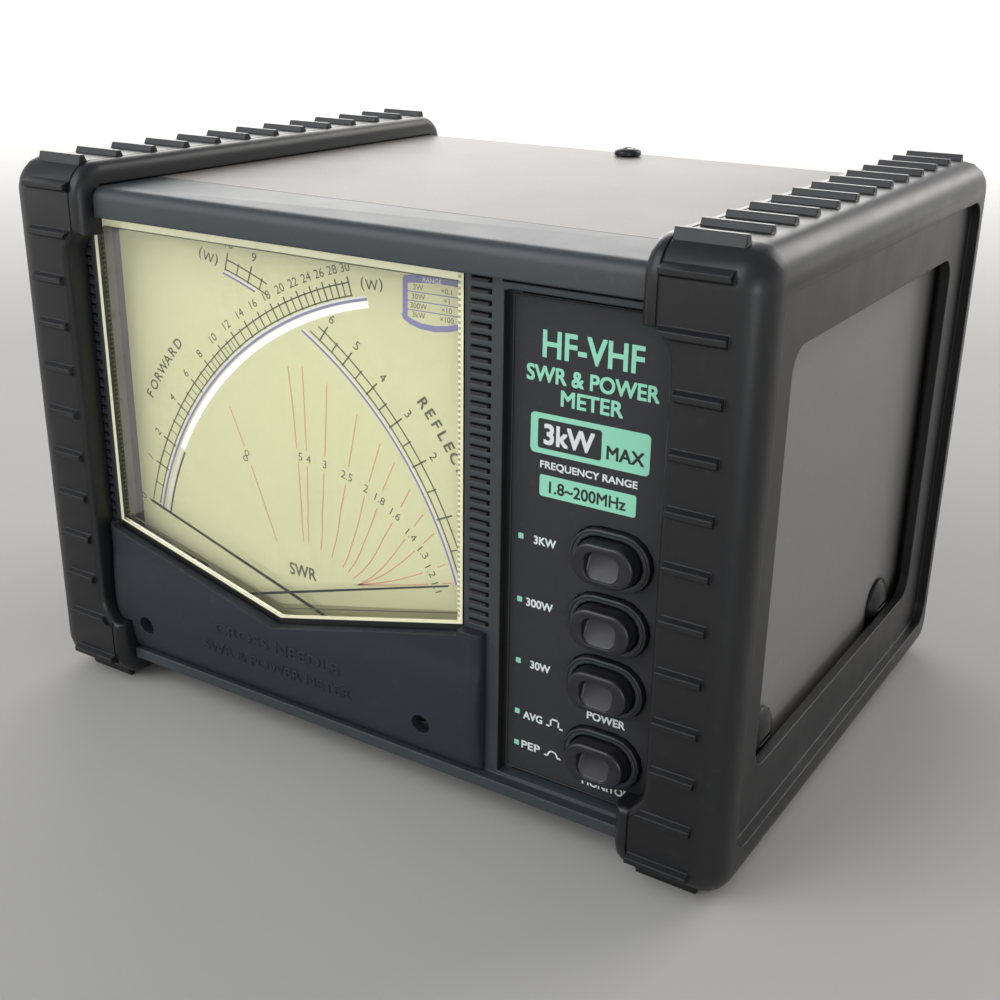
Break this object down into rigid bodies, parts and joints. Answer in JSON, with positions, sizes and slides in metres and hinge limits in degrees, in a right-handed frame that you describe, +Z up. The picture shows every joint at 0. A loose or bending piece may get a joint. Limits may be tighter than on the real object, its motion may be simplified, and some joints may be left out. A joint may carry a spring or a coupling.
{
  "type": "swr meter",
  "caption": "Bench cross-needle power and SWR meter in a grey cabinet between ribbed black bumper frames, with push buttons and rear coaxial sockets.",
  "frame": {"origin": "centre of the overall footprint, on the plane that the bumpers' lowest ribs stand on", "axes": "+X to the right as seen from the front (the longest side), +Y from the front to the rear, +Z up"},
  "size_m": [0.17, 0.13, 0.12],
  "materials": {
    "bumper_black": "satin moulded",
    "grey_paint": "fine textured satin",
    "zinc_steel": "zinc plated",
    "bezel_plastic": "fine textured satin",
    "lower_cover_plastic": "satin",
    "label_plate_black": "fine textured matt",
    "button_black": "satin",
    "switch_grey": "matt",
    "board_green": "solder mask",
    "cable_grey": "matt",
    "lead_black": "satin",
    "clear_plastic": "clear polished acrylic",
    "dial_cream": "printed matt",
    "housing_black": "matt",
    "magnet_alloy": "ground",
    "brass": "satin",
    "coil_copper": "enamelled copper",
    "needle_black": "matt",
    "ferrite": "fired matt",
    "coupler_aluminium": "mill finish",
    "nickel_plate": "nickel plated",
    "black_screw": "black finish"
  },
  "bodies": {
    "cabinet": {"bridge_forward": "brass", "bridge_reflected": "brass", "bumper_left": "bumper_black", "bumper_right": "bumper_black", "chassis_base": "zinc_steel", "coax_forward": "lead_black", "coax_reflected": "lead_black", "control_board": "board_green", "core_forward": "ferrite", "core_reflected": "ferrite", "coupler_box": "coupler_aluminium", "coupler_lid": "coupler_aluminium", "cover_screw_top": "black_screw", "dc_jack": "black_screw", "dial_plate": "dial_cream", "front_bezel": "bezel_plastic", "label_plate": "label_plate_black", "lamp_board": "board_green", "line_conductor": "coil_copper", "magnet_forward": "magnet_alloy", "magnet_reflected": "magnet_alloy", "main_board": "board_green", "meter_housing": "housing_black", "meter_lead_forward": "lead_black", "meter_lead_reflected": "lead_black", "meter_lower_cover": "lower_cover_plastic", "meter_window": "clear_plastic", "rear_panel": "grey_paint", "ribbon_cable": "cable_grey", "side_screw_left_front": "black_screw", "side_screw_left_rear": "black_screw", "side_screw_right_front": "black_screw", "side_screw_right_rear": "black_screw", "socket_antenna": "nickel_plate", "socket_screw_1": "zinc_steel", "socket_screw_2": "zinc_steel", "socket_screw_3": "zinc_steel", "socket_screw_4": "zinc_steel", "socket_screw_5": "zinc_steel", "socket_screw_6": "zinc_steel", "socket_screw_7": "zinc_steel", "socket_screw_8": "zinc_steel", "socket_transmitter": "nickel_plate", "switch_300w": "switch_grey", "switch_30w": "switch_grey", "switch_3kw": "switch_grey", "switch_monitor": "switch_grey", "top_cover": "grey_paint"},
    "button_3kw": {"button_3kw": "button_black"},
    "button_300w": {"button_300w": "button_black"},
    "button_30w": {"button_30w": "button_black"},
    "button_monitor": {"button_monitor": "button_black"},
    "forward_pointer": {"needle_forward": "needle_black", "coil_forward": "coil_copper"},
    "reflected_pointer": {"needle_reflected": "needle_black", "coil_reflected": "coil_copper"},
    "zero_screw_forward": {"zero_screw_forward": "black_screw"},
    "zero_screw_reflected": {"zero_screw_reflected": "black_screw"}
  },
  "joints": [
    {"name": "3kw_press", "type": "slide", "parent": "cabinet", "child": "button_3kw", "axis": [0, 1, 0], "range_m": [0, 0.003], "stiffness_N_per_m": 250, "springref_m": -0.0008},
    {"name": "300w_press", "type": "slide", "parent": "cabinet", "child": "button_300w", "axis": [0, 1, 0], "range_m": [0, 0.003], "stiffness_N_per_m": 250, "springref_m": -0.0008},
    {"name": "30w_press", "type": "slide", "parent": "cabinet", "child": "button_30w", "axis": [0, 1, 0], "range_m": [0, 0.003], "stiffness_N_per_m": 250, "springref_m": -0.0008},
    {"name": "monitor_press", "type": "slide", "parent": "cabinet", "child": "button_monitor", "axis": [0, 1, 0], "range_m": [0, 0.003], "stiffness_N_per_m": 250, "springref_m": -0.0008},
    {"name": "forward_deflection", "type": "hinge", "parent": "cabinet", "child": "forward_pointer", "pos_m": [0.0175, -0.0527, 0.0207], "axis": [0, 1, 0], "range_deg": [0, 62], "stiffness_Nm_per_rad": 0.0006, "springref_deg": -5.73},
    {"name": "reflected_deflection", "type": "hinge", "parent": "cabinet", "child": "reflected_pointer", "pos_m": [-0.0575, -0.0527, 0.0207], "axis": [0, -1, 0], "range_deg": [0, 62], "stiffness_Nm_per_rad": 0.0006, "springref_deg": -5.73},
    {"name": "forward_zero_turn", "type": "hinge", "parent": "cabinet", "child": "zero_screw_forward", "pos_m": [0.0184, -0.0585, 0.016], "axis": [0, 1, 0], "range_deg": [-90, 90]},
    {"name": "reflected_zero_turn", "type": "hinge", "parent": "cabinet", "child": "zero_screw_reflected", "pos_m": [-0.0584, -0.0585, 0.016], "axis": [0, 1, 0], "range_deg": [-90, 90]}
  ]
}
